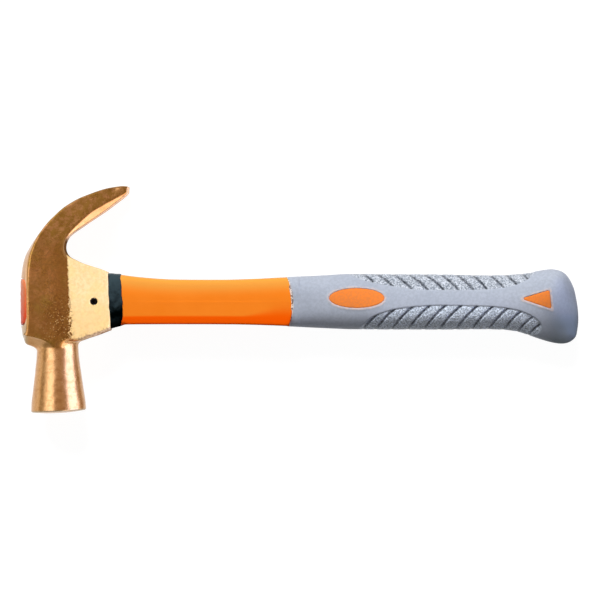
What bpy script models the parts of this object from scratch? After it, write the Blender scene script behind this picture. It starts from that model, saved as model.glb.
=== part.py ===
"""A claw hammer with a cast bronze head, a jacketed fibreglass handle and a moulded rubber grip.

Run it with: blender --background --python part.py

Every length is in metres. The hammer is drawn in its own drawing frame: +X runs down the handle from
the striking axis, +Y runs up the striking axis towards the claw, and Z = 0 is the plane that both halves
mirror in. An empty, hammer_origin, then lifts it on to the surface that it lies on, with the origin under
its middle.
"""

import math
from collections import namedtuple

import bmesh
import bpy
import numpy as np
from mathutils import Vector

# ---------------------------------------------------------------- driving dimensions

GAP = 0.0003                  # clearance between pieces that touch or are bonded
LIES_AT = (-0.14745, -0.0010, 0.0174)  # puts the origin under the middle of the hammer
HANG = math.radians(3.0)      # how far the head leans back from square to the handle

CROWN_X = -0.0224             # metal crest of the crown
CREASE_X = 0.0080             # where the flat cheek turns into the sloping socket
CHEEK_HALF = 0.0150           # half the thickness over the cheeks
ROOF = 0.0045                 # how far the crown falls away at its two sides
NECK_R = 0.0128               # the poll where it leaves the body
FACE_R = 0.0166               # the poll at the striking face
CLAW_HALF = 0.0174            # half the width over the two claw tips

SOCKET_END_X = 0.0317         # end face of the socket, on the handle's axis
SOCKET_END_HALF = 0.0127

SLOT_ROOT_HALF = 0.0013       # nail slot at its root
SLOT_TIP_HALF = 0.0066        # nail slot at the claw tips
SLOT_RELIEF = 1.35            # the slot is this much wider on the outer side of the claw

CORE_HALF_H = 0.0105          # fibreglass rod
CORE_HALF_T = 0.0075
CORE_POWER = 2.6
CORE_START_X = -0.0180
CORE_END_X = 0.2850

PIN_X = 0.0223                # spring pin across the socket
PIN_HOLE_R = 0.0024
PIN_R = 0.0021
PIN_WALL = 0.0007
PIN_HALF_LENGTH = 0.0115
PIN_SLIT = math.radians(50)

CAP_PROUD = 0.0004            # the resin cap stands this far above the crown

COLLAR_END_X = 0.0386
JACKET_END_X = 0.2960
GRIP_FRONT_X = 0.1388         # front edge of the grip, on the upper edge of the handle
GRIP_FRONT_SIDE = 0.0023      # how much further back that edge lies on the two sides
GRIP_FRONT_BELOW = 0.0009     # and on the lower edge, twice this
GRIP_WALL = 0.0024

ELLIPSE_X, ELLIPSE_Y = 0.1824, 0.0019
ELLIPSE_HALF_L, ELLIPSE_HALF_H = 0.0170, 0.0060
ARROW_CORNER_R = 0.0009
ARROW_CORNERS = ((0.2843, 0.0012), (0.3004, -0.0042), (0.2986, 0.0060))  # centres of its rounded corners

POINTS = 40                   # points round each lofted ring
CUT_PAST = 0.004              # how far a cutter runs past the surface that it cuts

# A station is one cross-section of a loft. top and bottom are the ends of its centreline in the XY plane,
# half is its half thickness in Z, and power is its superellipse exponent: 2 is round, 8 is a box with soft
# corners. roof is how far its top falls away at its sides, and bevel is the chamfer on its bottom corners.
Station = namedtuple("Station", "top bottom half power roof bevel", defaults=(0.0, 0.0))


# ---------------------------------------------------------------- stations of each shape

def poll_face_stations():
    """The crowned striking face, from its flat middle out to the rim. It leans with the head."""
    lean = HANG
    along = Vector((math.cos(lean), math.sin(lean)))
    outward = Vector((math.sin(lean), -math.cos(lean)))
    rim_centre = Vector((0.0004, -0.0660))
    crown = ((0.0060, 0.0021), (0.0110, 0.0017), (0.0150, 0.0011), (0.0162, 0.0006), (FACE_R, -0.0002))
    return [
        Station(rim_centre + outward * rise - along * r, rim_centre + outward * rise + along * r, r, 2.0)
        for r, rise in crown
    ]


def head_stations():
    """From the striking face up through the poll and body and out along the claw. top is the crown side."""
    return [
        *poll_face_stations(),
        Station((-0.0151, -0.0550), (0.0156, -0.0542), 0.0153, 2.0),
        Station((-0.0137, -0.0420), (0.0140, -0.0415), 0.0138, 2.0),
        Station((-0.0129, -0.0330), (0.0129, -0.0326), 0.0129, 2.0),
        Station((-0.0128, -0.0303), (0.0127, -0.0300), NECK_R, 2.2),
        Station((-0.0149, -0.0279), (0.0128, -0.0280), 0.0136, 3.4, 0.0006),
        Station((-0.0187, -0.0264), (0.0122, -0.0262), 0.0144, 6.0, 0.0024),
        Station((-0.0206, -0.0235), (0.0106, -0.0230), 0.0149, 9.0, 0.0036),
        Station((CROWN_X, -0.0150), (CREASE_X + 0.0010, -0.0150), CHEEK_HALF, 10.0, ROOF),
        Station((CROWN_X, 0.0000), (CREASE_X, 0.0000), CHEEK_HALF, 10.0, ROOF),
        Station((CROWN_X, 0.0130), (CREASE_X - 0.0008, 0.0130), CHEEK_HALF, 10.0, ROOF),
        Station((-0.0206, 0.0262), (0.0068, 0.0250), CHEEK_HALF, 10.0, 0.0038),
        Station((-0.0176, 0.0330), (0.0049, 0.0305), CHEEK_HALF, 9.0, 0.0026),
        Station((-0.0131, 0.0398), (0.0047, 0.0345), CHEEK_HALF, 8.0, 0.0017, 0.0004),
        Station((-0.0082, 0.0465), (0.0063, 0.0385), 0.0151, 8.0, 0.0012, 0.0012),
        Station((-0.0030, 0.0519), (0.0098, 0.0416), 0.0153, 8.0, 0.0010, 0.0022),
        Station((0.0040, 0.0575), (0.0150, 0.0452), 0.0156, 8.0, 0.0009, 0.0032),
        Station((0.0125, 0.0630), (0.0215, 0.0496), 0.0160, 8.0, 0.0008, 0.0040),
        Station((0.0215, 0.0669), (0.0284, 0.0543), 0.0164, 8.0, 0.0007, 0.0041),
        Station((0.0310, 0.0692), (0.0352, 0.0593), 0.0168, 7.0, 0.0005, 0.0034),
        Station((0.0388, 0.0702), (0.0406, 0.0636), 0.0172, 6.0, 0.0003, 0.0018),
        Station((0.0438, 0.0700), (0.0434, 0.0665), CLAW_HALF, 5.0, 0.0001, 0.0003),
    ]


def socket_stations():
    """The sloping socket, from inside the body to its end face, which leans with the head."""
    lean = math.tan(HANG)
    return [
        Station((-0.0060, 0.0240), (-0.0060, -0.0232), 0.0146, 8.0),
        Station((0.0070, 0.0271), (0.0080, -0.0256), 0.0148, 8.0),
        Station((0.0118, 0.0247), (0.0130, -0.0253), 0.0145, 8.0),
        Station((0.0160, 0.0228), (0.0170, -0.0235), 0.0141, 8.0),
        Station((0.0210, 0.0212), (0.0220, -0.0215), 0.0136, 7.0),
        Station((0.0260, 0.0196), (0.0270, -0.0195), 0.0131, 7.0),
        Station((SOCKET_END_X - 0.0176 * lean, 0.0176), (SOCKET_END_X + 0.0177 * lean, -0.0177),
                SOCKET_END_HALF, 6.0),
    ]


def eye_at(x, shrink):
    """The eye's section at x: flared at the crown, waisted inside the body, open at the socket."""
    places = (CROWN_X - CUT_PAST, -0.0180, -0.0140, -0.0060, 0.0120, SOCKET_END_X + CUT_PAST)
    up = np.interp(x, places, (0.0143, 0.0136, 0.0127, 0.0124, 0.0130, 0.0144)) - shrink
    down = np.interp(x, places, (0.0153, 0.0146, 0.0135, 0.0128, 0.0132, 0.0142)) - shrink
    half = np.interp(x, places, (0.0139, 0.0133, 0.0112, 0.0099, 0.0099, 0.0103)) - shrink
    return Station((x, up), (x, -down), half, 3.0)


def jacket_stations():
    """The orange jacket's outer surface from the collar to the grip."""
    return [
        Station((0.0380, 0.0162), (0.0390, -0.0145), 0.0112, 3.2),
        Station((0.0442, 0.0155), (0.0442, -0.0143), 0.0110, 3.2),
        Station((0.0515, 0.0148), (0.0515, -0.0143), 0.0108, 3.2),
        Station((0.0625, 0.0139), (0.0625, -0.0140), 0.0106, 3.2),
        Station((0.0747, 0.0134), (0.0747, -0.0140), 0.0105, 3.2),
        Station((0.0990, 0.0133), (0.0990, -0.0140), 0.0105, 3.2),
        Station((0.1113, 0.0136), (0.1113, -0.0143), 0.0107, 3.2),
        Station((0.1235, 0.0140), (0.1235, -0.0147), 0.0111, 3.2),
        Station((0.1357, 0.0148), (0.1357, -0.0151), 0.0116, 3.1),
    ]


def front_station(inset):
    """The section where jacket and grip meet. front_edge() bends it round the handle."""
    return Station((0.0, 0.0149 - inset), (0.0, -0.0153 + inset), 0.0118 - inset, 3.1)


def grip_stations():
    """The grip's outer surface from just behind its front edge to the slanted, rounded butt."""
    return [
        Station((0.1479, 0.0151), (0.1479, -0.0157), 0.0121, 3.0),
        Station((0.1601, 0.0156), (0.1601, -0.0164), 0.0127, 2.8),
        Station((0.1723, 0.0165), (0.1723, -0.0168), 0.0133, 2.7),
        Station((0.1845, 0.0171), (0.1845, -0.0172), 0.0137, 2.6),
        Station((0.2089, 0.0171), (0.2089, -0.0173), 0.0139, 2.5),
        Station((0.2333, 0.0168), (0.2333, -0.0172), 0.0137, 2.5),
        Station((0.2577, 0.0163), (0.2577, -0.0170), 0.0136, 2.5),
        Station((0.2699, 0.0162), (0.2700, -0.0173), 0.0138, 2.5),
        Station((0.2790, 0.0164), (0.2800, -0.0184), 0.0143, 2.5),
        Station((0.2880, 0.0174), (0.2890, -0.0211), 0.0152, 2.5),
        Station((0.2943, 0.0182), (0.2965, -0.0238), 0.0160, 2.5),
        Station((0.3000, 0.0192), (0.3030, -0.0254), 0.0166, 2.5),
        Station((0.3050, 0.0196), (0.3085, -0.0260), 0.0168, 2.5),
        Station((0.3079, 0.0184), (0.3124, -0.0248), 0.0161, 2.4),
        Station((0.3103, 0.0165), (0.3148, -0.0228), 0.0147, 2.3),
        Station((0.3129, 0.0122), (0.3169, -0.0184), 0.0117, 2.2),
        Station((0.3151, 0.0060), (0.3176, -0.0120), 0.0068, 2.1),
        Station((0.3159, 0.0015), (0.3176, -0.0065), 0.0030, 2.0),
    ]


# ---------------------------------------------------------------- rings and lofts

def superellipse(half_u, half_v, power, count):
    """count points round a superellipse, evenly spaced along each quarter of it."""
    angle = np.linspace(0.0, math.pi / 2, 400)
    quarter = np.column_stack((half_u * np.cos(angle) ** (2 / power), half_v * np.sin(angle) ** (2 / power)))
    run = np.concatenate(([0.0], np.cumsum(np.linalg.norm(np.diff(quarter, axis=0), axis=1))))
    at = np.linspace(0.0, run[-1], count // 4 + 1)
    u, v = np.interp(at, run, quarter[:, 0]), np.interp(at, run, quarter[:, 1])
    first = list(zip(u, v))
    second = [(-a, b) for a, b in reversed(first[:-1])]
    lower = [(a, -b) for a, b in reversed((first + second)[1:-1])]
    return first + second + lower


def ring(station, count=POINTS, place=None):
    """The points of one station. place, if given, sets a point's X from its place round the section."""
    top, bottom = Vector(station.top), Vector(station.bottom)
    centre, half_u = (top + bottom) / 2, (top - bottom).length / 2
    along = (top - bottom).normalized()
    swell = 1.01 if station.power > 5.5 else 1.0
    points = []
    for u, v in superellipse(half_u, station.half * swell, station.power, count):
        across = v / station.half
        upward = max(0.0, u / half_u)
        from_bottom = u + half_u
        limit = station.half - max(0.0, station.bevel - from_bottom)
        v = math.copysign(min(abs(v), limit), v)
        flat = centre + along * (u - station.roof * across ** 2 * upward)
        x = place(u / half_u, across) if place else flat.x
        points.append(Vector((x, flat.y, v)))
    return points


def interpolated(stations, steps):
    """The stations with smooth in-between ones: each value is a cubic in the distance along the loft."""
    rows = np.array([[*s.top, *s.bottom, s.half, s.power, s.roof, s.bevel] for s in stations])
    middle = (rows[:, 0:2] + rows[:, 2:4]) / 2
    knots = np.concatenate(([0.0], np.cumsum(np.linalg.norm(np.diff(middle, axis=0), axis=1) + 0.0005)))
    slopes = np.gradient(rows, knots, axis=0)
    smooth = []
    for i in range(len(rows) - 1):
        span = knots[i + 1] - knots[i]
        for k in range(steps):
            t = k / steps
            value = (
                rows[i] * (2 * t ** 3 - 3 * t ** 2 + 1)
                + rows[i + 1] * (3 * t ** 2 - 2 * t ** 3)
                + slopes[i] * span * (t ** 3 - 2 * t ** 2 + t)
                + slopes[i + 1] * span * (t ** 3 - t ** 2)
            )
            smooth.append(value)
    smooth.append(rows[-1])
    return [
        Station((r[0], r[1]), (r[2], r[3]), r[4], max(2.0, r[5]), max(0.0, r[6]), max(0.0, r[7]))
        for r in smooth
    ]


def inset(stations, depth):
    """The same loft with its surface moved in by depth."""
    moved = []
    for s in stations:
        top, bottom = Vector(s.top), Vector(s.bottom)
        along = (top - bottom).normalized()
        moved.append(s._replace(top=top - along * depth, bottom=bottom + along * depth, half=s.half - depth))
    return moved


def front_edge(offset):
    """Where the grip's front edge lies round the handle: further back on the sides and below."""
    def place(up, across):
        return GRIP_FRONT_X + offset + GRIP_FRONT_SIDE * across ** 2 + GRIP_FRONT_BELOW * (1 - up)
    return place


def leaning(x):
    """A section that leans back with the head instead of standing square to the handle."""
    def stations(top, bottom, half, power):
        lean = math.tan(HANG)
        return Station((x - top * lean, top), (x - bottom * lean, bottom), half, power)
    return stations


# ---------------------------------------------------------------- objects

def clear_scene():
    for obj in list(bpy.data.objects):
        bpy.data.objects.remove(obj, do_unlink=True)


def new_collection(name):
    made = bpy.data.collections.new(name)
    bpy.context.scene.collection.children.link(made)
    return made


def material(name, colour, roughness, metallic=0.0):
    made = bpy.data.materials.new(name)
    made.use_nodes = True
    shader = made.node_tree.nodes["Principled BSDF"]
    shader.inputs["Base Color"].default_value = (*colour, 1.0)
    shader.inputs["Roughness"].default_value = roughness
    shader.inputs["Metallic"].default_value = metallic
    return made


def loft(name, rings, closed=False):
    """A solid skinned over rings of equal count. A closed loft joins its last ring to its first."""
    bm = bmesh.new()
    rows = [[bm.verts.new(p) for p in points] for points in rings]
    count = len(rows[0])
    pairs = list(zip(rows, rows[1:]))
    if closed:
        pairs.append((rows[-1], rows[0]))
    for here, there in pairs:
        for k in range(count):
            following = (k + 1) % count
            bm.faces.new((here[k], here[following], there[following], there[k]))
    if not closed:
        bm.faces.new(rows[0])
        bm.faces.new(rows[-1])
    bmesh.ops.recalc_face_normals(bm, faces=bm.faces)
    mesh = bpy.data.meshes.new(name)
    bm.to_mesh(mesh)
    bm.free()
    mesh.shade_smooth()
    return bpy.data.objects.new(name, mesh)


def flat_outline(name, points, half_thickness):
    """A closed outline in the XY plane, extruded both ways along Z, as a mesh with welded caps."""
    curve = bpy.data.curves.new(name, "CURVE")
    curve.dimensions = "2D"
    curve.fill_mode = "BOTH"
    curve.extrude = half_thickness
    spline = curve.splines.new("POLY")
    spline.points.add(len(points) - 1)
    for knot, (x, y) in zip(spline.points, points):
        knot.co = (x, y, 0.0, 1.0)
    spline.use_cyclic_u = True
    drawn = bpy.data.objects.new(name + "_curve", curve)
    bpy.context.scene.collection.objects.link(drawn)
    bpy.context.view_layer.update()
    mesh = bpy.data.meshes.new_from_object(drawn.evaluated_get(bpy.context.evaluated_depsgraph_get()))
    bpy.data.objects.remove(drawn)
    bm = bmesh.new()
    bm.from_mesh(mesh)
    bmesh.ops.remove_doubles(bm, verts=bm.verts, dist=1e-6)
    bmesh.ops.recalc_face_normals(bm, faces=bm.faces)
    bm.to_mesh(mesh)
    bm.free()
    return bpy.data.objects.new(name, mesh)


def cylinder(name, radius, half_length, segments=32):
    """A solid cylinder along Z."""
    bm = bmesh.new()
    bmesh.ops.create_cone(bm, cap_ends=True, segments=segments, radius1=radius, radius2=radius,
                          depth=2 * half_length)
    mesh = bpy.data.meshes.new(name)
    bm.to_mesh(mesh)
    bm.free()
    return bpy.data.objects.new(name, mesh)


def boolean(obj, operation, other):
    modifier = obj.modifiers.new(operation.lower() + "_" + other.name, "BOOLEAN")
    modifier.operation = operation
    modifier.solver = "EXACT"
    modifier.object = other


def as_part(obj, look):
    parts.objects.link(obj)
    obj.parent = origin
    obj.data.materials.clear()
    obj.data.materials.append(look)
    return obj


def as_cutter(obj):
    cutters.objects.link(obj)
    obj.parent = origin
    obj.hide_render = True
    obj.display_type = "WIRE"
    return obj


# ---------------------------------------------------------------- the pieces

def slot_cutter():
    """A wedge that follows the claw's curve, so that the slot splits it into two tines."""
    claw = interpolated(head_stations(), 2)
    tines = [s for s in claw if s.top[0] > -0.0100 and s.top[1] > 0.0440]
    rings = []
    for i, s in enumerate(tines):
        top, bottom = Vector(s.top), Vector(s.bottom)
        along = (top - bottom).normalized()
        half = SLOT_ROOT_HALF + (SLOT_TIP_HALF - SLOT_ROOT_HALF) * i / (len(tines) - 1)
        outer, inner = top + along * CUT_PAST, bottom - along * CUT_PAST
        rings.append([
            Vector((outer.x, outer.y, half * SLOT_RELIEF)), Vector((outer.x, outer.y, -half * SLOT_RELIEF)),
            Vector((inner.x, inner.y, -half)), Vector((inner.x, inner.y, half)),
        ])
    onward = (rings[-1][0] - rings[-2][0]).normalized() * CUT_PAST
    rings.append([p + onward for p in rings[-1]])
    return as_cutter(loft("slot_cutter", rings))


def pin_hole_cutter():
    hole = cylinder("pin_hole_cutter", PIN_HOLE_R, CHEEK_HALF + CUT_PAST)
    hole.location = (PIN_X, 0.0, 0.0)
    return as_cutter(hole)


def make_head(look, pin_hole):
    head = as_part(loft("head", [ring(s) for s in interpolated(head_stations(), 2)]), look)
    socket = as_cutter(loft("socket_tool", [ring(s) for s in interpolated(socket_stations(), 1)]))
    eye_places = (CROWN_X - CUT_PAST, -0.0180, -0.0140, -0.0060, 0.0120, SOCKET_END_X + CUT_PAST)
    eye = as_cutter(loft("eye_cutter", [ring(eye_at(x, 0.0), 32) for x in eye_places]))
    boolean(head, "UNION", socket)
    boolean(head, "DIFFERENCE", eye)
    boolean(head, "DIFFERENCE", slot_cutter())
    boolean(head, "DIFFERENCE", pin_hole)
    return head


def core_ring(x, grow, count=32):
    half_h = CORE_HALF_H + grow
    return ring(Station((x, half_h), (x, -half_h), CORE_HALF_T + grow, CORE_POWER), count)


def make_core(look, pin_hole):
    places = (CORE_START_X, PIN_X, 0.1400, CORE_END_X)
    core = as_part(loft("core_rod", [core_ring(x, 0.0) for x in places]), look)
    boolean(core, "DIFFERENCE", pin_hole)


def make_bond(look, pin_hole):
    """The cured resin between the eye's wall and the core."""
    mouth, end = eye_at(SOCKET_END_X, GAP), leaning(SOCKET_END_X - GAP)
    core_h, core_t = CORE_HALF_H + GAP, CORE_HALF_T + GAP
    bond_places = (CORE_START_X, -0.0140, -0.0060, 0.0120)
    outside = [ring(eye_at(x, GAP), 32) for x in bond_places]
    outside.append(ring(end(mouth.top[1], mouth.bottom[1], mouth.half, mouth.power), 32))
    inside = [ring(end(core_h, -core_h, core_t, CORE_POWER), 32)]
    inside += [core_ring(x, GAP) for x in reversed(bond_places)]
    bond = as_part(loft("eye_bond", outside + inside, closed=True), look)
    boolean(bond, "DIFFERENCE", pin_hole)


def make_cap(look):
    """The resin cap that closes the eye. Its top follows the crown's roof."""
    base_x = CORE_START_X - GAP
    widest = eye_at(base_x, GAP)

    def crest(lift):
        def place(_up, across):
            z = across * widest.half
            return CROWN_X + ROOF * (z / CHEEK_HALF) ** 2 - lift
        return place

    rings = [
        ring(widest, 32, lambda _up, _across: base_x),
        ring(widest, 32, crest(-0.0002)),
        ring(inset([widest], 0.0012)[0], 32, crest(CAP_PROUD * 0.7)),
        ring(inset([widest], 0.0045)[0], 32, crest(CAP_PROUD)),
    ]
    as_part(loft("eye_cap", rings), look)


def make_pin(look):
    """A slotted spring pin, pressed across the socket and sunk below both cheeks."""
    start, end = PIN_SLIT / 2, 2 * math.pi - PIN_SLIT / 2
    angles = [start + (end - start) * k / 28 for k in range(29)]
    inner_r = PIN_R - PIN_WALL
    outline = [(PIN_R * math.cos(a), PIN_R * math.sin(a)) for a in angles]
    outline += [(inner_r * math.cos(a), inner_r * math.sin(a)) for a in reversed(angles)]
    pin = as_part(flat_outline("cross_pin", outline, PIN_HALF_LENGTH), look)
    pin.location = (PIN_X, 0.0, 0.0)


def make_collar(look):
    """The black rubber collar between the socket and the jacket."""
    front, back = leaning(SOCKET_END_X + GAP), leaning(COLLAR_END_X)
    step = leaning(SOCKET_END_X + 0.0018)
    rings = [
        ring(front(0.0168, -0.0168, 0.0121, 4.0), 40),
        ring(step(0.0171, -0.0168, 0.0123, 4.0), 40),
        ring(back(0.0164, -0.0148, 0.0114, 3.4), 40),
        ring(back(0.0136 + GAP, -0.0118 - GAP, 0.0090 + GAP, 3.0), 40),
        ring(front(0.0136 + GAP, -0.0118 - GAP, 0.0090 + GAP, 3.0), 40),
    ]
    as_part(loft("collar", rings, closed=True), look)


def island(name, outline, skin):
    """A raised pad of the jacket that fills a window in the grip on both sides of the handle."""
    pad = as_cutter(flat_outline(name, outline, 0.0200))
    boolean(pad, "INTERSECT", skin)
    return pad


def make_jacket(look, skin):
    """The orange jacket: a neck under the collar, the bare shaft, a thinner length in the grip, and pads."""
    neck_front, neck_back = leaning(SOCKET_END_X + GAP), leaning(COLLAR_END_X + GAP)
    under_grip = [s for s in grip_stations() if s.top[0] < JACKET_END_X]
    rings = [
        ring(neck_front(0.0136, -0.0118, 0.0090, 3.0)),
        ring(neck_back(0.0136, -0.0118, 0.0090, 3.0)),
        ring(neck_back(0.0162, -0.0146, 0.0112, 3.2)),
        *[ring(s) for s in interpolated(jacket_stations(), 1)[1:]],
        ring(front_station(0.0), place=front_edge(-GAP)),
        ring(front_station(GRIP_WALL + GAP), place=front_edge(-GAP)),
        *[ring(s) for s in inset(under_grip, GRIP_WALL + GAP)],
    ]
    jacket = as_part(loft("jacket", rings), look)
    boolean(jacket, "UNION", island("ellipse_pad", ellipse_outline(-GAP), skin))
    boolean(jacket, "UNION", island("arrow_pad", arrow_outline(-GAP), skin))
    bore = loft("core_bore_cutter", [core_ring(0.0280, GAP), core_ring(CORE_END_X + GAP, GAP)])
    boolean(jacket, "DIFFERENCE", as_cutter(bore))


def ellipse_outline(grow):
    a, b = ELLIPSE_HALF_L + grow, ELLIPSE_HALF_H + grow
    turn = 2 * math.pi / 40
    return [(ELLIPSE_X + a * math.cos(k * turn), ELLIPSE_Y + b * math.sin(k * turn)) for k in range(40)]


def arrow_outline(grow):
    """A triangle that points at the head, with its corners rounded."""
    corners = [Vector(c) for c in ARROW_CORNERS]
    outline = []
    for k, corner in enumerate(corners):
        arriving = corner - corners[k - 1]
        leaving = corners[(k + 1) % 3] - corner
        start = math.atan2(-arriving.x, arriving.y)
        sweep = (math.atan2(-leaving.x, leaving.y) - start) % (2 * math.pi)
        for step in range(7):
            a = start + sweep * step / 6
            outline.append(corner + (ARROW_CORNER_R + grow) * Vector((math.cos(a), math.sin(a))))
    return [(v.x, v.y) for v in outline]


def make_grip(look, outer):
    """The grey rubber grip: a closed sleeve with a window on each side for each of the jacket's pads."""
    cavity = inset([s for s in grip_stations() if s.top[0] < JACKET_END_X], GRIP_WALL)
    last = cavity[-1]
    onward = Vector((2 * GAP, 0.0))
    cavity.append(last._replace(top=last.top + onward, bottom=last.bottom + onward))
    rings = [
        *[ring(s) for s in reversed(cavity)],
        ring(front_station(GRIP_WALL), place=front_edge(0.0)),
        ring(front_station(0.0), place=front_edge(0.0)),
        *[ring(s) for s in outer],
    ]
    grip = as_part(loft("grip", rings), look)
    boolean(grip, "DIFFERENCE", as_cutter(flat_outline("ellipse_window", ellipse_outline(0.0), 0.0250)))
    boolean(grip, "DIFFERENCE", as_cutter(flat_outline("arrow_window", arrow_outline(0.0), 0.0250)))


def main():
    bronze = material("cast_bronze", (0.62, 0.36, 0.16), 0.32, 1.0)
    fibreglass = material("fibreglass", (0.62, 0.60, 0.42), 0.5)
    resin = material("bonding_resin", (0.30, 0.22, 0.12), 0.45)
    red_resin = material("cap_resin", (0.80, 0.16, 0.06), 0.35)
    spring_steel = material("spring_steel", (0.10, 0.10, 0.11), 0.4, 1.0)
    black_rubber = material("black_rubber", (0.02, 0.03, 0.035), 0.6)
    orange = material("orange_jacket", (0.90, 0.22, 0.01), 0.35)
    grey_rubber = material("grey_rubber", (0.42, 0.46, 0.52), 0.6)

    outer = interpolated(grip_stations(), 1)
    skin = as_cutter(loft("grip_skin_tool", [ring(s) for s in inset(outer, 0.0001)]))
    pin_hole = pin_hole_cutter()
    make_head(bronze, pin_hole)
    make_core(fibreglass, pin_hole)
    make_bond(resin, pin_hole)
    make_cap(red_resin)
    make_pin(spring_steel)
    make_collar(black_rubber)
    make_jacket(orange, skin)
    make_grip(grey_rubber, outer)


clear_scene()
parts = new_collection("claw_hammer")
cutters = new_collection("cutters")
origin = bpy.data.objects.new("hammer_origin", None)
bpy.context.scene.collection.objects.link(origin)
origin.location = LIES_AT
main()
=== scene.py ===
"""Looks and studio for the claw hammer.

Every visible surface is drawn as a smooth solid field in millimetres and meshed here. The drawing frame is
the hammer's own: +X runs down the handle from the striking axis, +Y runs up that axis towards the claw, and
Z = 0 is the mirror plane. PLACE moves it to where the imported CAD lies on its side.
"""

import math

import bpy
import numpy as np
from mathutils import Matrix, Vector


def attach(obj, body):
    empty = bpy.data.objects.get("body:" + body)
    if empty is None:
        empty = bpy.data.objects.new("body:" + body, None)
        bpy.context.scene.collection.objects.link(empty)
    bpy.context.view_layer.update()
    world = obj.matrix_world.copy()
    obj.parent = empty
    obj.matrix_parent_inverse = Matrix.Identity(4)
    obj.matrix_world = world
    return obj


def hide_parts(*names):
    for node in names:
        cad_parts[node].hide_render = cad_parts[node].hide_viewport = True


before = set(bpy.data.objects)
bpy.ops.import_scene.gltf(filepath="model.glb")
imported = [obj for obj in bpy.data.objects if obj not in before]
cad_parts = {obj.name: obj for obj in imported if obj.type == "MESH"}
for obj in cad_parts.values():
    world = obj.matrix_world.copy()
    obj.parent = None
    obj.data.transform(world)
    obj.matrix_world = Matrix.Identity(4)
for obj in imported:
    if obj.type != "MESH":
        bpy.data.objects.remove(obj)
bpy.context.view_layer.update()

MM = 0.001
PLACE = np.array((-147.45, -1.0, 17.4))
FINE = 1.0

# ---------------------------------------------------------------- plane fields


def smoothstep(low, high, value):
    t = np.clip((value - low) / (high - low), 0.0, 1.0)
    return t * t * (3.0 - 2.0 * t)


def smooth_max(a, b, k):
    h = np.maximum(k - np.abs(a - b), 0.0) / k
    return np.maximum(a, b) + h * h * k * 0.25


def smooth_min(a, b, k):
    return -smooth_max(-a, -b, k)


def spline(points, per_span=6, closed=False):
    """A Catmull-Rom curve through the points."""
    p = np.array(points, float)
    if closed:
        q = np.vstack((p[-1], p, p[:2]))
    else:
        q = np.vstack((2 * p[0] - p[1], p, 2 * p[-1] - p[-2]))
    out = []
    for i in range(1, len(q) - 2):
        for k in range(per_span):
            t = k / per_span
            out.append(0.5 * (2 * q[i] + (q[i + 1] - q[i - 1]) * t
                              + (2 * q[i - 1] - 5 * q[i] + 4 * q[i + 1] - q[i + 2]) * t * t
                              + (3 * q[i] - q[i - 1] - 3 * q[i + 1] + q[i + 2]) * t ** 3))
    if not closed:
        out.append(q[-2])
    return np.array(out)


def to_line(x, y, line):
    """Distance from points to a polyline, and where along it (0 to 1) the nearest point lies."""
    line = np.asarray(line, float)
    steps = np.linalg.norm(np.diff(line, axis=0), axis=1)
    run = np.concatenate(([0.0], np.cumsum(steps)))
    best = np.full(np.broadcast(x, y).shape, 1e9)
    where = np.zeros_like(best)
    for i in range(len(line) - 1):
        ax, ay = line[i]
        dx, dy = line[i + 1] - line[i]
        t = np.clip(((x - ax) * dx + (y - ay) * dy) / (dx * dx + dy * dy + 1e-12), 0.0, 1.0)
        d = (x - ax - t * dx) ** 2 + (y - ay - t * dy) ** 2
        closer = d < best
        best = np.where(closer, d, best)
        where = np.where(closer, (run[i] + t * steps[i]) / run[-1], where)
    return np.sqrt(best), where


def in_outline(x, y, outline):
    inside = np.zeros(np.broadcast(x, y).shape, bool)
    for (ax, ay), (bx, by) in zip(outline, np.roll(outline, -1, axis=0)):
        if ay == by:
            continue
        inside ^= ((ay > y) != (by > y)) & (x < (bx - ax) * (y - ay) / (by - ay) + ax)
    return inside


class Sheet:
    """A value known over the XY plane, read back between its grid points."""

    def __init__(self, low, high, step):
        self.low, self.step = np.array(low, float), step
        self.nx = int((high[0] - low[0]) / step) + 2
        self.ny = int((high[1] - low[1]) / step) + 2
        self.x = (low[0] + step * np.arange(self.nx))[:, None]
        self.y = (low[1] + step * np.arange(self.ny))[None, :]

    def read(self, values, x, y):
        u = np.clip((x - self.low[0]) / self.step, 0, self.nx - 1.001)
        v = np.clip((y - self.low[1]) / self.step, 0, self.ny - 1.001)
        i, j = u.astype(int), v.astype(int)
        u, v = u - i, v - j
        return (values[i, j] * (1 - u) * (1 - v) + values[i + 1, j] * u * (1 - v)
                + values[i, j + 1] * (1 - u) * v + values[i + 1, j + 1] * u * v)

    def signed(self, outline):
        outline = np.asarray(outline, float)
        distance, _ = to_line(self.x, self.y, np.vstack((outline, outline[:1])))
        return np.where(in_outline(self.x, self.y, outline), -distance, distance)

    def blurred(self, values, sigma):
        reach = int(3 * sigma / self.step)
        kernel = np.exp(-0.5 * (np.arange(-reach, reach + 1) * self.step / sigma) ** 2)
        kernel /= kernel.sum()
        for axis in (0, 1):
            pad = [(reach, reach) if a == axis else (0, 0) for a in (0, 1)]
            wide = np.pad(values, pad, mode="edge")
            values = sum(w * np.take(wide, np.arange(k, k + values.shape[axis]), axis=axis)
                         for k, w in enumerate(kernel))
        return values


def table(xs, values):
    """A smooth curve through (xs, values), read as a function of x."""
    curve = spline(np.column_stack((xs, values)), 12)
    return lambda x: np.interp(x, curve[:, 0], curve[:, 1])


def lumps(x, y, z, scale, seed):
    """Gentle, repeatable unevenness of about -1 to 1, with no grid to it."""
    rng = np.random.default_rng(seed)
    total = 0.0
    for _ in range(9):
        way = rng.normal(size=3)
        way *= rng.uniform(0.7, 1.5) / (np.linalg.norm(way) * scale)
        total = total + np.sin(6.283 * (x * way[0] + y * way[1] + z * way[2]) + rng.uniform(0, 6.283))
    return total / 3.0


# ---------------------------------------------------------------- meshing a field


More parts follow.
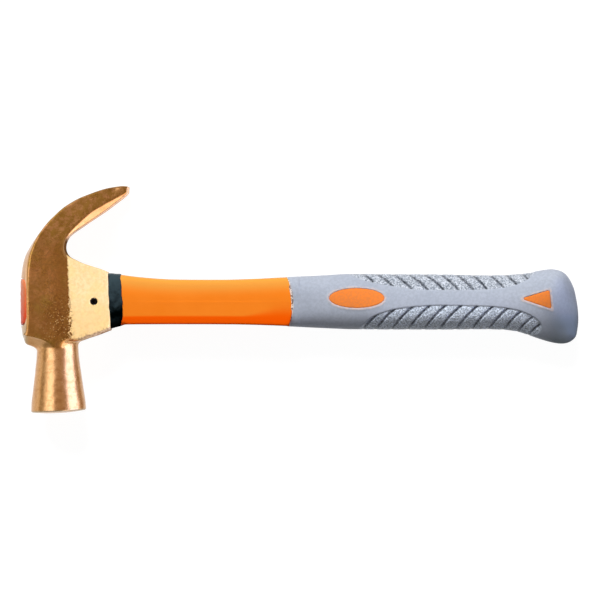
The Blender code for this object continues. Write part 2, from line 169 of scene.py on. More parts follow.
def net(field, low, high, step):
    """The zero surface of field between two corners, as points and quads, drawn in tight to the surface."""
    step *= FINE
    axes = [np.arange(low[a], high[a] + step, step) for a in range(3)]
    values = field(axes[0][:, None, None], axes[1][None, :, None], axes[2][None, None, :])
    inside = values < 0
    corners = [(i, j, k) for i in (0, 1) for j in (0, 1) for k in (0, 1)]
    nx, ny, nz = (n - 1 for n in values.shape)
    count = sum(inside[i:i + nx, j:j + ny, k:k + nz].astype(np.int8) for i, j, k in corners)
    cells = np.argwhere((count > 0) & (count < 8))
    index = np.full((nx, ny, nz), -1, np.int64)
    index[tuple(cells.T)] = np.arange(len(cells))
    at = {c: values[tuple((cells + c).T)] for c in corners}
    total, hits = np.zeros((len(cells), 3)), np.zeros(len(cells))
    for c in corners:
        for a in range(3):
            if c[a]:
                continue
            far = tuple(v + (n == a) for n, v in enumerate(c))
            va, vb = at[c], at[far]
            cross = (va < 0) != (vb < 0)
            t = np.where(cross, va / np.where(cross, va - vb, 1.0), 0.0)
            place = np.tile(np.array(c, float), (len(cells), 1))
            place[:, a] += t
            total += place * cross[:, None]
            hits += cross
    points = np.array([axes[a][0] for a in range(3)]) + (cells + total / hits[:, None]) * step
    quads = []
    for a in range(3):
        u, v = (a + 1) % 3, (a + 2) % 3
        near = np.take(inside, np.arange(values.shape[a] - 1), axis=a)
        far = np.take(inside, np.arange(1, values.shape[a]), axis=a)
        edges = np.argwhere(near != far)
        edges = edges[(edges[:, u] > 0) & (edges[:, v] > 0)
                      & (edges[:, u] < index.shape[u]) & (edges[:, v] < index.shape[v])]
        eu, ev = np.eye(3, dtype=int)[u], np.eye(3, dtype=int)[v]
        ring = [index[tuple((edges - eu - ev).T)], index[tuple((edges - ev).T)],
                index[tuple(edges.T)], index[tuple((edges - eu).T)]]
        quad = np.column_stack(ring)
        outward = near[tuple(edges.T)]
        quad[~outward] = quad[~outward][:, ::-1]
        quads.append(quad)
    quads = np.vstack(quads)
    for _ in range(3):
        points = points - drift(field, points, step * 0.4)
    return points, quads


def drift(field, p, most):
    """How far each point is off the surface, as a vector."""
    e = 0.06
    x, y, z = p.T
    f = field(x, y, z)
    g = np.column_stack((field(x + e, y, z) - field(x - e, y, z),
                         field(x, y + e, z) - field(x, y - e, z),
                         field(x, y, z + e) - field(x, y, z - e))) / (2 * e)
    move = g * (f / np.maximum((g * g).sum(1), 0.05))[:, None]
    size = np.linalg.norm(move, axis=1, keepdims=True)
    return move * np.minimum(1.0, most / np.maximum(size, 1e-9))


def piece(name, points, faces, look, marks):
    """A mesh object of the hammer, from points in millimetres, with a number for each of its look's masks."""
    mesh = bpy.data.meshes.new(name)
    mesh.from_pydata(((points + PLACE) * MM).tolist(), [], faces.tolist())
    for key, values in marks.items():
        layer = mesh.attributes.new(key, "FLOAT", "POINT")
        layer.data.foreach_set("value", np.asarray(values, np.float32))
    mesh.shade_smooth()
    mesh.materials.append(look)
    mesh.update()
    made = bpy.data.objects.new(name, mesh)
    bpy.context.scene.collection.objects.link(made)
    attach(made, "root")
    return made


# ---------------------------------------------------------------- the head's shape

HANG = math.radians(3.0)
CROWN_X = -22.4
CHEEK = 15.0
PIN_X, PIN_Y = 22.4, -0.1
PIN_HOLE_RADIUS, PIN_RADIUS, PIN_BORE = 2.25, 2.0, 1.3
POLL_LEAN = math.radians(0.95)
POLL_TOP = -29.7

OUTER = [(-22.5, -14.0), (CROWN_X - 0.15, -8.0), (CROWN_X - 0.2, 0.0), (CROWN_X - 0.15, 8.0), (-22.1, 16.0),
         (-20.5, 25.4), (-17.3, 32.4), (-12.4, 39.9), (-6.8, 46.8), (-2.2, 51.6), (4.4, 57.4), (12.7, 62.3),
         (20.6, 65.6), (30.0, 68.5), (38.6, 69.95), (43.4, 69.75)]
INNER = [(42.9, 66.0), (40.6, 63.6), (35.2, 59.3), (28.4, 54.3), (21.5, 49.6), (15.0, 45.2), (9.8, 41.6),
         (6.5, 38.6), (4.8, 34.6), (4.9, 30.6), (7.1, 27.2), (11.8, 24.7), (16.0, 22.9), (21.0, 21.3),
         (26.0, 19.7), (30.8, 17.8)]
SOCKET_END = [(30.9, 17.8), (32.6, -17.7)]
UNDER = [(32.6, -17.7), (28.4, -19.3), (23.5, -21.1), (18.4, -22.7), (14.6, -24.1)]
NECK_TOP = [(14.6, -24.1), (12.0, -24.2), (0.0, -22.6), (-9.0, -23.0), (-12.0, -26.0), (-13.2, -28.4)]
SHOULDER = [(-13.2, -28.4), (-16.5, -27.2), (-19.4, -26.0), (-20.8, -22.8), (-22.0, -17.5), (-22.5, -14.0)]
MIDDLE = [(-8.0, 0.0), (-7.8, 14.0), (-6.5, 27.0), (-5.5, 34.0), (-2.2, 41.0), (3.0, 47.0), (9.8, 52.0),
          (17.4, 56.6), (25.0, 60.6), (33.0, 64.3), (39.6, 67.0), (44.0, 68.6)]

head_sheet = Sheet((-30.0, -36.0), (50.0, 78.0), 0.2)


def crown_roof(s, outer, shoulder):
    """How far the head's side falls away towards its two faces, along the crown and the shoulder."""
    near_outer, along_outer = to_line(s.x, s.y, outer)
    near_shoulder, along_shoulder = to_line(s.x, s.y, shoulder)
    roof = np.interp(along_outer, (0.0, 0.22, 0.32, 0.42, 0.52, 1.0), (4.5, 4.5, 3.7, 1.5, 0.3, 0.0))
    low = np.interp(along_shoulder, (0.0, 0.4, 1.0), (0.6, 2.0, 4.5))
    roof = np.where(near_shoulder < near_outer, low, roof)
    return roof * (1 - smoothstep(4.0, 9.0, np.minimum(near_outer, near_shoulder)))


def head_thickness(s, claw):
    """Half the head's thickness, and how far each point lies past the crease between cheek and socket."""
    half = CHEEK + 2.3 * claw ** 1.3
    crease = 7.6 + np.tan(HANG * 0.8) * -s.y
    beyond = np.maximum(s.x - crease, 0.0) * (s.y < 31.0) * (claw < 0.02)
    socket = np.minimum(CHEEK, CHEEK + 0.25 - 0.105 * (s.x - crease) - 0.0006 * beyond ** 2)
    is_socket = (s.x > crease - 4) & (s.y < 29.5)
    half = np.where(is_socket, np.minimum(half, socket), half)
    waist = smoothstep(-21.0, -31.0, s.y) * 2.45
    return half - waist, s.x - crease


def head_sheets():
    """Everything about the head that depends only on X and Y."""
    s = head_sheet
    outer, inner = spline(OUTER), spline(INNER)
    under, shoulder = spline(UNDER), spline(SHOULDER)
    outline = np.vstack((outer, inner, SOCKET_END[1:], under[1:], NECK_TOP[1:], shoulder[1:]))
    near_inner, along_inner = to_line(s.x, s.y, inner)
    near_under, along_under = to_line(s.x, s.y, under)
    bevel = table((0.0, 0.08, 0.19, 0.28, 0.36, 0.44, 0.51, 0.58, 1.0),
                  (0.8, 2.3, 3.6, 4.2, 3.7, 2.6, 1.4, 0.4, 0.0))(along_inner)
    bevel = bevel * (1 - smoothstep(6.0, 10.0, near_inner))
    bevel_low = np.interp(along_under, (0.0, 0.5, 1.0), (1.3, 1.6, 0.6))
    bevel_low = bevel_low * (1 - smoothstep(3.0, 6.0, near_under))
    _, reach = to_line(s.x, s.y, spline(MIDDLE, 4))
    claw = np.clip((reach - 0.36) / 0.64, 0.0, 1.0)
    half, crease = head_thickness(s, claw)
    # where shade is painted: the wall in the claw's throat
    throat_shade = (smoothstep(2.0, 1.0, near_inner) * smoothstep(0.52, 0.58, along_inner)
              * smoothstep(0.76, 0.70, along_inner))
    return {"side": s.signed(outline), "roof": crown_roof(s, outer, shoulder), "half": half, "crease": crease,
            "bevel": np.maximum(bevel, bevel_low), "reach": claw, "under": near_under, "throat_shade": throat_shade}


HEAD = head_sheets()


def head_read(key, x, y):
    return head_sheet.read(HEAD[key], x, y)


def face_field(x, y, z):
    """The crowned striking face, part of a large ball."""
    return np.sqrt((x + 5.4) ** 2 + (y - 42.4) ** 2 + z * z) - 110.7


POLL_DOWN = (10.0, 19.0, 20.2, 21.2, 22.0, 23.0, 24.0, 25.0, 26.0, 27.0, 28.0, 29.0, 30.5, 33.0, 37.0, 41.9,
             48.0, 54.1, 60.2, 62.8, 66.0, 72.0)
POLL_RADII = (56.0, 28.0, 23.4, 20.2, 18.3, 16.6, 15.45, 14.6, 13.95, 13.45, 13.05, 12.8, 12.68, 12.87, 13.25,
              13.85, 14.68, 15.52, 16.34, 16.62, 16.75, 16.8)
POLL_RADIUS = table(POLL_DOWN, POLL_RADII)


def poll_field(x, y, z):
    """The turned poll: a neck that flares to a crowned face, and the body's flare above it."""
    px = x * math.cos(POLL_LEAN) + (y - POLL_TOP) * math.sin(POLL_LEAN) + 0.1
    py = (y - POLL_TOP) * math.cos(POLL_LEAN) - x * math.sin(POLL_LEAN) + POLL_TOP
    tighter = 2.2 * smoothstep(2.0, 10.0, px) * smoothstep(-34.0, -28.0, py)
    radius = POLL_RADIUS(-py + tighter)
    wall = (np.abs(px) ** 2.15 + np.abs(z) ** 2.15 + 1e-9) ** (1 / 2.15) - radius
    return smooth_max(wall, face_field(x, y, z), 0.9)


def eye_field(x, y, z):
    """The hole that takes the handle: wide at the crown, waisted inside, open again at the socket."""
    places = (-27.0, -18.0, -14.0, -6.0, 12.0, 36.0)
    up = np.interp(x, places, (14.3, 13.6, 12.7, 12.4, 13.0, 14.4))
    down = np.interp(x, places, (15.3, 14.6, 13.5, 12.8, 13.2, 14.2))
    half = np.interp(x, places, (14.6, 14.0, 11.2, 9.9, 9.9, 10.3))
    square = np.interp(x, (-18.0, -12.0), (5.0, 3.0))
    v = (y - (up - down) / 2) / ((up + down) / 2)
    w = z / half
    return ((np.abs(v) ** square + np.abs(w) ** square) ** (1 / square) - 1.0) * half


def head_field(x, y, z):
    """The whole casting: body, claw and poll, with the slot, the eye and the pin's hole cut out."""
    az = np.sqrt(z * z + 0.02)
    side = head_read("side", x, y) + head_read("roof", x, y) * (z / CHEEK) ** 2 * 0.95
    top = az - head_read("half", x, y)
    shoulder = (1.25 * (-20.7 - y - 0.06 * (x + 18.0)) + az - CHEEK) / 1.6
    wall = smooth_max(side, shoulder, 0.6)
    flare = np.maximum(poll_field(x, y, z), np.maximum(y + 19.5, -20.3 - x))
    wall = smooth_min(wall, flare, 2.2)
    soft = 0.4 + 1.0 * smoothstep(-10.0, -18.0, x) * smoothstep(-21.0, -13.0, y)
    body = smooth_max(wall, top - 12.0 * smoothstep(-28.0, -31.5, y), soft)
    a = head_read("bevel", x, y)
    body = smooth_max(body, (0.6 * side + top + 0.6 * a) / 1.166 - 20.0 * smoothstep(-20.0, -24.0, y), 0.45)
    body = body + 0.045 * lumps(x, y, z, 13.0, 4) + 0.02 * lumps(x, y, z, 5.0, 9)
    reach = head_read("reach", x, y)
    width = 0.9 + 5.9 * reach - 0.28 * head_read("side", x, y) * 0.25
    slot = np.where(reach > 0.0, width - az, -3.0)
    slot = np.minimum(slot, (reach - 0.02) * 60.0)
    body = smooth_max(body, slot, 0.7)
    body = smooth_max(body, -eye_field(x, y, z), 0.5)
    hole = PIN_HOLE_RADIUS - np.sqrt((x - PIN_X) ** 2 + (y - PIN_Y) ** 2)
    return smooth_max(body, hole, 0.5)


# ---------------------------------------------------------------- the handle's shape

HANDLE_TOP = [(30.0, 17.6), (33.2, 17.1), (36.9, 16.5), (40.6, 16.1), (44.2, 15.6), (51.5, 14.8),
              (62.5, 13.9), (74.7, 13.45), (99.1, 13.35), (111.3, 13.6), (123.5, 14.05), (135.7, 14.7),
              (147.9, 15.15), (160.1, 15.7), (172.3, 16.5), (184.5, 17.1), (196.7, 16.9), (233.3, 16.7),
              (245.5, 16.45), (257.7, 16.15), (269.9, 16.25), (279.0, 16.7), (288.2, 17.7), (295.0, 18.9),
              (300.8, 19.6), (305.5, 18.9), (309.3, 16.9), (312.4, 12.9), (315.0, 7.2), (316.3, 1.2),
              (317.2, -5.0), (317.5, -11.5)]
HANDLE_BELOW = [(316.9, -17.5), (315.9, -21.5), (313.4, -24.1), (310.2, -25.5), (306.0, -25.8),
                (300.4, -24.9), (294.3, -23.1), (288.2, -21.0), (282.1, -19.0), (276.0, -17.8),
                (269.9, -17.3), (257.7, -17.05), (233.3, -17.25), (184.5, -17.1), (172.3, -16.8),
                (160.1, -16.3), (147.9, -15.7), (135.7, -15.05), (123.5, -14.6), (111.3, -14.3),
                (99.1, -14.2), (62.5, -14.15), (44.2, -14.3), (40.6, -14.5), (36.9, -15.2),
                (33.2, -16.6), (30.0, -18.0)]
TOP_AT = table(*zip(*HANDLE_TOP[:27]))
BELOW_AT = table(*zip(*HANDLE_BELOW[:3:-1]))
HALF_AT = table((28, 36, 44, 62, 75, 99, 111, 124, 136, 148, 160, 172, 184, 209, 233, 258, 270, 280, 289, 296,
                 302, 307, 311, 315, 319),
                (12.3, 11.5, 11.0, 10.6, 10.5, 10.5, 10.7, 11.1, 11.6, 12.1, 12.7, 13.3, 13.7, 13.9, 13.7,
                 13.6, 13.8, 14.3, 15.2, 15.9, 15.9, 14.8, 13.1, 10.8, 8.0))
POWER_AT = table((30, 138, 145, 158, 185, 215, 258, 285, 320), (2.9, 3.0, 2.8, 2.3, 2.1, 2.0, 2.0, 2.05, 2.1))
LEAN_AT = table((30, 145, 165, 185, 210, 258, 275, 290, 306, 320),
                (0.003, 0.004, 0.001, -0.006, -0.015, -0.016, -0.008, 0.008, 0.019, 0.019))

UPPER_EDGE = [(175.5, 17.8), (181.5, 14.5), (190.0, 11.5), (205.9, 8.9), (216.9, 7.2), (227.2, 6.8),
              (246.1, 6.7), (255.3, 6.9), (263.8, 7.3), (273.0, 8.4), (280.7, 10.4), (287.0, 13.8),
              (290.5, 17.2)]
LOWER_EDGE = [(183.0, -17.2), (187.0, -13.6), (190.2, -10.4), (194.9, -7.9), (200.4, -6.0), (206.0, -4.6),
              (216.2, -3.3), (225.4, -2.6), (236.1, -2.3), (255.3, -2.7), (264.4, -3.1), (273.6, -4.1),
              (281.9, -5.9), (289.3, -9.2), (293.4, -12.6), (294.6, -15.8), (292.6, -19.2), (288.0, -22.2)]


def groove_line(start, end, bow):
    """A slightly bowed line from start to end."""
    (ax, ay), (bx, by) = start, end
    length = math.hypot(bx - ax, by - ay)
    nx, ny = -(by - ay) / length, (bx - ax) / length
    t = np.linspace(0.0, 1.0, 6)
    out = bow * 4 * t * (1 - t)
    return np.column_stack((ax + (bx - ax) * t + nx * out, ay + (by - ay) * t + ny * out))


UPPER_GROOVE_START, UPPER_GROOVE_PITCH = 183.6, 9.72
UPPER_GROOVE_REACH = (8.6, 11.0, 12.6, 12.8, 12.9, 12.2, 11.4, 9.6, 10.2, 8.2, 5.6)
UPPER_GROOVE_END = (12.1, 9.0, 7.6, 6.9, 6.8, 6.8, 6.9, 7.5, 8.5, 10.4, 13.4)
LOWER_GROOVE_TOPS = ((195.0, -7.7), (205.0, -4.9), (216.1, -3.4), (226.4, -2.8), (236.2, -2.6), (245.6, -2.7),
                     (255.5, -2.9), (264.8, -3.3), (274.0, -4.4), (281.9, -6.2), (289.0, -9.6),
                     (293.6, -14.0))


def groove_lines():
    """The grooves: down and back from the top edge in one panel, down and forward in the other."""
    lines = []
    for n, (reach, end) in enumerate(zip(UPPER_GROOVE_REACH, UPPER_GROOVE_END)):
        x = UPPER_GROOVE_START + UPPER_GROOVE_PITCH * n
        lines.append(groove_line((x - 2.4, 18.6), (x + reach, end), 0.8))
    for n, (x, y) in enumerate(LOWER_GROOVE_TOPS):
        down = -18.6 if n < 9 else -20.0 - (n - 9) * 1.4
        lines.append(groove_line((x, y), (x - (y - down) * (0.90 if n < 10 else 0.95), down), -0.7))
    return lines


handle_sheet = Sheet((24.0, -34.0), (326.0, 26.0), 0.25)


def handle_sheets():
    """Everything about the handle that depends only on X and Y."""
    s = handle_sheet
    outline = np.vstack((spline(HANDLE_TOP + HANDLE_BELOW, 4), [(20.0, -18.0), (20.0, 17.6)]))
    side = s.signed(outline)
    deep = s.blurred(side, 3.5)
    side = side + (deep - side) * smoothstep(-3.0, -9.0, side)
    upper = s.signed(np.vstack((spline(UPPER_EDGE, 4), [(292.0, 30.0), (178.0, 30.0)])))
    lower = s.signed(np.vstack((spline(LOWER_EDGE, 4), [(284.0, -36.0), (180.0, -36.0)])))
    groove = np.full(side.shape, 9.0)
    wide = s.x[:, 0]
    for line in groove_lines():
        span = (wide > line[:, 0].min() - 5) & (wide < line[:, 0].max() + 5)
        near, _ = to_line(s.x[span], s.y, line)
        groove[span] = np.minimum(groove[span], near)
    return {"side": side, "upper": upper, "lower": lower, "groove": groove}


HANDLE = handle_sheets()


def handle_read(key, x, y):
    return handle_sheet.read(HANDLE[key], x, y)


def section(x, y, z, grow=0.0, square=0.0):
    """The handle's skin, as about a distance: oval sections inside the side outline, boxier where square."""
    side = handle_read("side", x, y)
    tall = (TOP_AT(x) - BELOW_AT(x)) / 2
    half = HALF_AT(x) * (1.0 + LEAN_AT(x) * y)
    p = POWER_AT(x) + square
    u = np.clip(1.0 + side / tall, 0.0, 3.0)
    w = np.sqrt(z * z + 1e-4) / half
    total = u ** p + w ** p + 1e-9
    g = total ** (1.0 / p)
    slope = np.sqrt((g ** (1 - p) * u ** (p - 1) / tall) ** 2 + (g ** (1 - p) * w ** (p - 1) / half) ** 2)
    return (g - 1.0) / np.maximum(slope, 0.03) - grow


ELLIPSE_AT, ELLIPSE_HALF = (182.2, 1.95), (16.9, 6.1)
ARROW = [(281.5, 1.6), (299.3, 7.1), (300.8, -4.9)]


def ellipse_distance(x, y):
    u = (x - ELLIPSE_AT[0]) / ELLIPSE_HALF[0]
    v = (y - ELLIPSE_AT[1]) / ELLIPSE_HALF[1]
    g = np.sqrt(u * u + v * v)
    slope = np.sqrt((u / ELLIPSE_HALF[0]) ** 2 + (v / ELLIPSE_HALF[1]) ** 2) / np.maximum(g, 1e-3)
    return (g - 1.0) / np.maximum(slope, 0.02)


def arrow_distance(x, y):
    """A triangle with rounded corners."""
    worst = None
    for (ax, ay), (bx, by) in zip(ARROW, ARROW[1:] + ARROW[:1]):
        length = math.hypot(bx - ax, by - ay)
        d = ((x - ax) * (ay - by) + (y - ay) * (bx - ax)) / length
        worst = d if worst is None else smooth_max(worst, d, 1.8)
    return smooth_max(worst, 283.0 - x, 1.2)


def windows(x, y):
    return np.minimum(ellipse_distance(x, y), arrow_distance(x, y))


def front_edge(y):
    """Where the grip begins: furthest back at mid-height, and forward on the upper and lower edges."""
    rise = np.where(y > -1.0, 3.4 * ((y + 1.0) / 15.2) ** 2, 2.2 * ((y + 1.0) / 13.5) ** 2)
    return 142.1 - np.minimum(rise, 4.0)


def grip_field(x, y, z):
    """The rubber sleeve, with its two sunk panels, their grooves and the windows with their lips."""
    skin = section(x, y, z)
    upper, lower, groove = (handle_read(key, x, y) for key in ("upper", "lower", "groove"))
    in_upper, in_lower = smoothstep(0.35, -0.35, upper), smoothstep(0.3, -0.3, lower)
    skin = skin + 0.28 * in_upper + 0.62 * in_lower * smoothstep(-0.3, -3.5, handle_read("side", x, y))
    panel = np.maximum(smoothstep(0.3, -1.2, upper), smoothstep(0.3, -0.6, lower))
    deep = 0.2 + 0.62 * smoothstep(-0.3, -4.5, handle_read("side", x, y))
    skin = skin + deep * panel * smoothstep(1.1, 0.4, groove)
    skin = skin + 0.03 * lumps(x, y, z, 17.0, 3)
    window = windows(x, y)
    pocket = np.minimum(-window, skin + 1.6)
    skin = smooth_max(skin, pocket, 0.3)
    lip = smoothstep(1.3, 0.3, np.abs(window - 0.7))
    skin = skin - 0.16 * lip
    return smooth_max(skin, front_edge(y) - x + 0.05 * lumps(x * 0, y, z, 5.0, 6), 0.8)


def shaft_field(x, y, z):
    """The jacket's bare stretch: flat sides, with a facet along the upper edge and one along the lower."""
    boxy = smoothstep(37.0, 46.0, x) * smoothstep(145.0, 137.0, x)
    skin = section(x, y, z, -0.18, 0.6 + boxy * (1.3 + 15.0 * smoothstep(2.0, -4.0, y)))
    side = handle_read("side", x, y)
    az = np.sqrt(z * z + 1e-3)
    lift = az - HALF_AT(x) + 0.18
    low = np.where(y < 0.0, (side + 5.0) * 0.16 + lift * 0.987, -5.0)
    high = np.where(y > 0.0, (side + 6.5) * 0.20 + lift * 0.98, -5.0)
    skin = smooth_max(skin, low, 0.35)
    skin = smooth_max(skin, high, 1.7)
    skin = np.maximum(skin, lift - 0.3)
    skin = skin + 0.02 * lumps(x, y, z, 21.0, 8)
    return np.maximum(skin, np.maximum(36.0 - x, x - front_edge(y) - 1.2))


def pads_field(x, y, z):
    skin = section(x, y, z, -0.05) + 0.03 * lumps(x, y, z, 11.0, 12)
    pad = smooth_max(skin, windows(x, y) + 0.04, 0.5)
    return np.maximum(pad, -(skin + 3.0))


def jacket_field(x, y, z):
    return np.minimum(shaft_field(x, y, z), pads_field(x, y, z))


def collar_field(x, y, z):
    """A hand-laid sealing collar, with edges that wander."""
    front = 31.45 - y * 0.040
    back = 39.6 - y * 0.05
    t = np.clip((x - front) / (back - front), 0.0, 1.0)
    top, below = 17.05 - 0.5 * t, -16.75 + 2.3 * t
    tall, half = (top - below) / 2, 12.7 - 0.8 * t
    u, w = (y - (top + below) / 2) / tall, z / half
    p = 3.6
    g = (np.abs(u) ** p + np.abs(w) ** p + 1e-9) ** (1 / p)
    slope = np.sqrt((g ** (1 - p) * np.abs(u) ** (p - 1) / tall) ** 2
                    + (g ** (1 - p) * np.abs(w) ** (p - 1) / half) ** 2)
    skin = (g - 1.0) / np.maximum(slope, 0.03)
    skin = skin + 0.10 * lumps(x * 1.5, y, z, 7.0, 21) + 0.05 * lumps(x, y, z, 2.6, 22)
    front_face = front - x + 0.12 * lumps(x * 0, y, z, 6.0, 23)
    back_face = x - back + 0.13 * lumps(x * 0, y, z, 8.0, 24) + 0.07 * lumps(x * 0, y, z, 2.2, 25)
    body = smooth_max(smooth_max(skin, front_face, 0.7), back_face, 1.1)
    inner = (np.abs((y - 0.6) / 13.4) ** 3 + np.abs(z / 9.9) ** 3 + 1e-9) ** (1 / 3)
    return np.maximum(body, (1.0 - inner) * 9.0)


def cap_field(x, y, z):
    """The resin that closes the eye: a barrel top with a shrunken rim and a few dimples."""
    crest = CROWN_X - 0.27 + 4.3 * (z / CHEEK) ** 2
    rim = eye_field(x, y, z) + 0.25
    sunk = 0.28 * smoothstep(-2.2, 0.0, rim)
    top = crest + sunk - x + 0.07 * lumps(x * 0, y, z, 5.0, 31) + 0.03 * lumps(x * 0, y, z, 2.0, 32)
    return np.maximum(smooth_max(rim, top * 0.9, 0.5), x + 18.4)


def pin_field(x, y, z):
    """The spring pin: a short tube with a slit, sunk below both cheeks."""
    r = np.sqrt((x - PIN_X) ** 2 + (y - PIN_Y) ** 2)
    slit = np.where(x > PIN_X, 0.4 - np.abs(y - PIN_Y), -9.0)
    bore = np.minimum(np.maximum(PIN_BORE - r, slit), np.abs(z) - 6.0)
    return smooth_max(smooth_max(r - PIN_RADIUS, bore, 0.2), np.abs(z) - 10.6, 0.3)


# ---------------------------------------------------------------- looks


class Look:
    """A material being wired up. Sizes in its textures are millimetres on the object."""

    def __init__(self, name, roughness=0.5, metallic=0.0):
        self.material = bpy.data.materials.new(name)
        self.material.use_nodes = True
        self.tree = self.material.node_tree
        self.shader = self.tree.nodes["Principled BSDF"]
        self.shader.inputs["Roughness"].default_value = roughness
        self.shader.inputs["Metallic"].default_value = metallic
        self.where = self.add("TexCoord").outputs["Object"]

    def add(self, kind, settings=None, **inputs):
        made = self.tree.nodes.new("ShaderNode" + kind)
        for key, value in (settings or {}).items():
            setattr(made, key, value)
        for key, value in inputs.items():
            self.put(made.inputs[key.replace("_", " ")], value)
        return made

    def put(self, socket, value):
        if isinstance(value, bpy.types.NodeSocket):
            self.tree.links.new(value, socket)
        else:
            socket.default_value = value

    def noise(self, size_mm, detail=3.0, rough=0.55):
        return self.add("TexNoise", Vector=self.where, Scale=1000.0 / size_mm, Detail=detail,
                        Roughness=rough).outputs["Fac"]

    def cells(self, size_mm):
        return self.add("TexVoronoi", Vector=self.where, Scale=1000.0 / size_mm).outputs["Distance"]

    def value(self, name):
        return self.add("Attribute", {"attribute_name": name}).outputs["Fac"]

    def ramp(self, value, low, high, to_low=0.0, to_high=1.0):
        made = self.add("MapRange", {"interpolation_type": "SMOOTHSTEP"}, Value=value)
        for n, number in zip(("From Min", "From Max", "To Min", "To Max"), (low, high, to_low, to_high)):
            self.put(made.inputs[n], number)
        return made.outputs["Result"]

    def maths(self, kind, a, b):
        made = self.add("Math", {"operation": kind})
        self.put(made.inputs[0], a)
        self.put(made.inputs[1], b)
        return made.outputs[0]

    def times(self, a, b):
        return self.maths("MULTIPLY", a, b)

    def plus(self, a, b):
        return self.maths("ADD", a, b)

    def minus(self, a, b):
        return self.maths("SUBTRACT", a, b)

    def mix(self, factor, a, b):
        made = self.add("Mix", {"data_type": "RGBA"})
        self.put(made.inputs["Factor"], factor)
        self.put(made.inputs[6], a)
        self.put(made.inputs[7], b)
        return made.outputs[2]

    def mottle(self, under, pattern, low, high, most, colour):
        """Patches of colour over what is under them, where the pattern is high."""
        return self.mix(self.ramp(pattern, low, high, 0.0, most), under, colour)

    def tint(self, under, mark, most, colour):
        """A colour laid over what is under it, where a mark on the mesh says so."""
        return self.mix(self.times(self.value(mark), most), under, colour)

    def bump(self, height, distance_mm, strength=1.0, normal=None):
        made = self.add("Bump", Strength=strength, Distance=distance_mm * MM, Height=height)
        if normal is not None:
            self.put(made.inputs["Normal"], normal)
        return made.outputs["Normal"]

    def set(self, **inputs):
        for key, value in inputs.items():
            self.put(self.shader.inputs[key.replace("_", " ")], value)
        return self.material


def rgb(r, g, b):
    return (r, g, b, 1.0)


